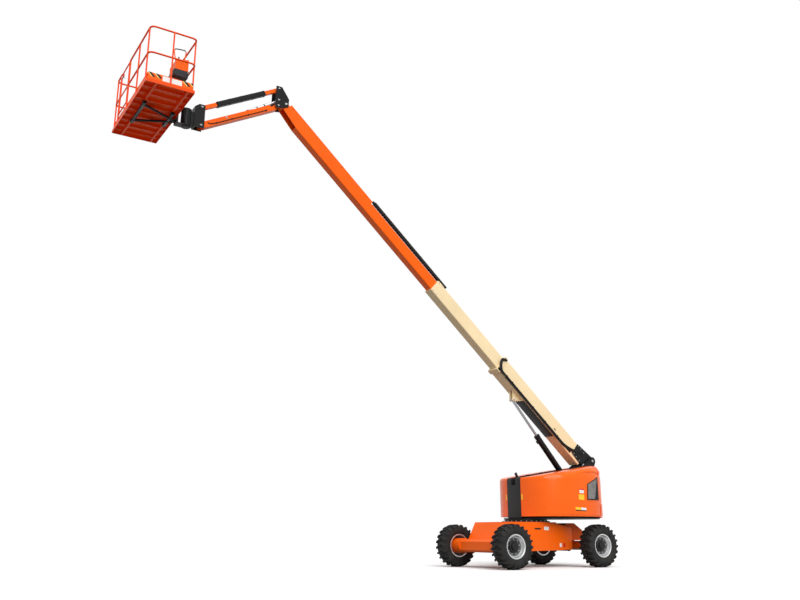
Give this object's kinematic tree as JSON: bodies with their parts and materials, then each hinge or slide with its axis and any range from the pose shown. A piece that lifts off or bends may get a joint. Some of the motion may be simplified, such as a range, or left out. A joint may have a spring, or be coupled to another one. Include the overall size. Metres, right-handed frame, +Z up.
{
  "type": "telescopic boom lift",
  "caption": "Self-propelled aerial work platform with a telescoping boom, a parallelogram jib and a railed platform on a slewing, counterweighted turntable.",
  "frame": {"origin": "on the ground under the swing centre, midway between the axles", "axes": "+X the way the boom points, +Y to the left of the boom, +Z up"},
  "size_m": [11.6291, 2.44, 9.9502],
  "materials": {
    "orange_steel": "gloss",
    "cream_steel": "gloss",
    "orange_hood": "gloss",
    "black_steel": "satin",
    "bare_steel": "satin",
    "chrome_rod": "polished",
    "engine_metal": "matte",
    "black_plastic": "matte",
    "tyre_rubber": "matte",
    "hose_rubber": "matte",
    "rim_silver": "satin",
    "orange_aluminium": "satin",
    "cast_orange": "gloss",
    "orange_plastic": "satin"
  },
  "bodies": {
    "chassis": {"chassis_frame": "orange_steel", "drive_axle": "orange_steel", "steer_axle": "orange_steel", "swing_bearing": "black_steel", "steer_cylinder": "black_steel"},
    "knuckle_left_body": {"knuckle_left": "orange_steel"},
    "knuckle_right_body": {"knuckle_right": "orange_steel"},
    "tie_rod_body": {"tie_rod": "bare_steel"},
    "wheel_drive_left": {"tyre_drive_left": "tyre_rubber", "rim_drive_left": "rim_silver"},
    "wheel_drive_right": {"tyre_drive_right": "tyre_rubber", "rim_drive_right": "rim_silver"},
    "wheel_steer_left": {"tyre_steer_left": "tyre_rubber", "rim_steer_left": "rim_silver"},
    "wheel_steer_right": {"tyre_steer_right": "tyre_rubber", "rim_steer_right": "rim_silver"},
    "turntable": {"turntable_frame": "black_steel", "counterweight": "cast_orange", "engine_block": "engine_metal", "centre_cover": "black_plastic", "exhaust_pipe": "bare_steel"},
    "hood_left_body": {"hood_left": "orange_hood"},
    "hood_right_body": {"hood_right": "orange_hood"},
    "base_boom_body": {"base_boom": "cream_steel", "boom_tail_bracket": "black_steel", "base_boom_hoses": "hose_rubber"},
    "lift_barrel_body": {"lift_barrel": "black_steel"},
    "lift_rod_body": {"lift_rod": "chrome_rod"},
    "mid_boom_body": {"mid_boom": "cream_steel", "power_track": "black_plastic"},
    "fly_boom_body": {"fly_boom": "orange_steel", "hose_tray": "orange_steel"},
    "tip_bracket_body": {"tip_bracket": "black_steel"},
    "jib_lower_body": {"jib_lower_arm": "orange_steel"},
    "jib_upper_body": {"jib_upper_arm": "black_steel"},
    "jib_barrel_body": {"jib_barrel": "bare_steel"},
    "jib_rod_body": {"jib_rod": "chrome_rod"},
    "jib_head_body": {"jib_head": "black_steel"},
    "platform": {"platform_support": "black_steel", "platform_floor": "orange_aluminium", "platform_rails": "orange_aluminium", "toe_boards": "orange_aluminium", "control_console": "orange_plastic"},
    "gate": {"platform_gate": "orange_aluminium"}
  },
  "joints": [
    {"name": "swing", "type": "hinge", "parent": "chassis", "child": "turntable", "pos_m": [0, 0, 1.035], "axis": [0, 0, 1], "continuous": true},
    {"name": "steer_left", "type": "hinge", "parent": "chassis", "child": "knuckle_left_body", "pos_m": [-1.245, 0.7, 0.46], "axis": [0, 0, 1], "range_deg": [-32, 32]},
    {"name": "steer_right", "type": "hinge", "parent": "chassis", "child": "knuckle_right_body", "pos_m": [-1.245, -0.7, 0.46], "axis": [0, 0, 1], "range_deg": [-32, 32]},
    {"name": "tie_rod_slide", "type": "slide", "parent": "chassis", "child": "tie_rod_body", "axis": [0, 1, 0], "range_m": [-0.12, 0.12]},
    {"name": "wheel_drive_left_spin", "type": "hinge", "parent": "chassis", "child": "wheel_drive_left", "pos_m": [1.245, 0.99, 0.46], "axis": [0, 1, 0], "continuous": true},
    {"name": "wheel_drive_right_spin", "type": "hinge", "parent": "chassis", "child": "wheel_drive_right", "pos_m": [1.245, -0.99, 0.46], "axis": [0, 1, 0], "continuous": true},
    {"name": "wheel_steer_left_spin", "type": "hinge", "parent": "knuckle_left_body", "child": "wheel_steer_left", "pos_m": [-1.245, 0.99, 0.46], "axis": [0, 1, 0], "continuous": true},
    {"name": "wheel_steer_right_spin", "type": "hinge", "parent": "knuckle_right_body", "child": "wheel_steer_right", "pos_m": [-1.245, -0.99, 0.46], "axis": [0, 1, 0], "continuous": true},
    {"name": "hood_left_hinge", "type": "hinge", "parent": "turntable", "child": "hood_left_body", "pos_m": [-0.55, 0.237, 2.0727], "axis": [0.9871, 0, -0.1601], "range_deg": [0, 60]},
    {"name": "hood_right_hinge", "type": "hinge", "parent": "turntable", "child": "hood_right_body", "pos_m": [-0.55, -0.237, 2.0727], "axis": [0.9871, 0, -0.1601], "range_deg": [-60, 0]},
    {"name": "boom_lift", "type": "hinge", "parent": "turntable", "child": "base_boom_body", "pos_m": [-1.98, 0, 2.4], "axis": [0, -1, 0], "range_deg": [-41.3, 24.7]},
    {"name": "lift_barrel_tilt", "type": "hinge", "parent": "turntable", "child": "lift_barrel_body", "pos_m": [-1.735, 0, 1.457], "axis": [0, -1, 0], "range_deg": [-35.2, 21.1]},
    {"name": "lift_rod_slide", "type": "slide", "parent": "lift_barrel_body", "child": "lift_rod_body", "axis": [0.6609, 0, 0.7505], "range_m": [-0.68, 0.41]},
    {"name": "mid_extend", "type": "slide", "parent": "base_boom_body", "child": "mid_boom_body", "axis": [0.7513, 0, 0.66], "range_m": [-2.2, 0]},
    {"name": "fly_extend", "type": "slide", "parent": "mid_boom_body", "child": "fly_boom_body", "axis": [0.7513, 0, 0.66], "range_m": [-2.2, 0], "deforming": ["power_track"]},
    {"name": "tip_level", "type": "hinge", "parent": "fly_boom_body", "child": "tip_bracket_body", "pos_m": [6.32828, 0, 9.5792], "axis": [0, -1, 0], "range_deg": [-24.7, 41.3]},
    {"name": "jib_lift", "type": "hinge", "parent": "tip_bracket_body", "child": "jib_lower_body", "pos_m": [6.50028, 0, 9.5002], "axis": [0, -1, 0], "range_deg": [-31, 99]},
    {"name": "jib_upper_tilt", "type": "hinge", "parent": "tip_bracket_body", "child": "jib_upper_body", "pos_m": [6.50028, 0, 9.9002], "axis": [0, -1, 0], "range_deg": [-31, 99]},
    {"name": "jib_barrel_tilt", "type": "hinge", "parent": "tip_bracket_body", "child": "jib_barrel_body", "pos_m": [6.50028, 0, 9.63021], "axis": [0, -1, 0], "range_deg": [-31, 99]},
    {"name": "jib_rod_slide", "type": "slide", "parent": "jib_barrel_body", "child": "jib_rod_body", "axis": [0.842, 0, -0.5395], "range_m": [-0.247, 0.078]},
    {"name": "jib_head_level", "type": "hinge", "parent": "jib_lower_body", "child": "jib_head_body", "pos_m": [8.12707, 0, 8.59846], "axis": [0, -1, 0], "range_deg": [-99, 31]},
    {"name": "platform_rotate", "type": "hinge", "parent": "jib_head_body", "child": "platform", "pos_m": [8.41707, 0, 8.59846], "axis": [0, 0, 1], "range_deg": [-90, 90]},
    {"name": "gate_hinge", "type": "hinge", "parent": "platform", "child": "gate", "pos_m": [9.54007, -0.237, 9.25846], "axis": [0, 0, 1], "range_deg": [-90, 0]}
  ],
  "couplings": [
    {"joint": "steer_right", "follows": "steer_left", "ratio": 1},
    {"joint": "tie_rod_slide", "follows": "steer_left", "m_per_rad": 0.2},
    {"joint": "lift_barrel_tilt", "follows": "boom_lift", "ratio": 0.85},
    {"joint": "lift_rod_slide", "follows": "boom_lift", "m_per_rad": 0.93},
    {"joint": "fly_extend", "follows": "mid_extend", "ratio": 1},
    {"joint": "tip_level", "follows": "boom_lift", "ratio": -1},
    {"joint": "jib_upper_tilt", "follows": "jib_lift", "ratio": 1},
    {"joint": "jib_barrel_tilt", "follows": "jib_lift", "ratio": 1},
    {"joint": "jib_rod_slide", "follows": "jib_lift", "m_per_rad": -0.1425},
    {"joint": "jib_head_level", "follows": "jib_lift", "ratio": -1}
  ]
}
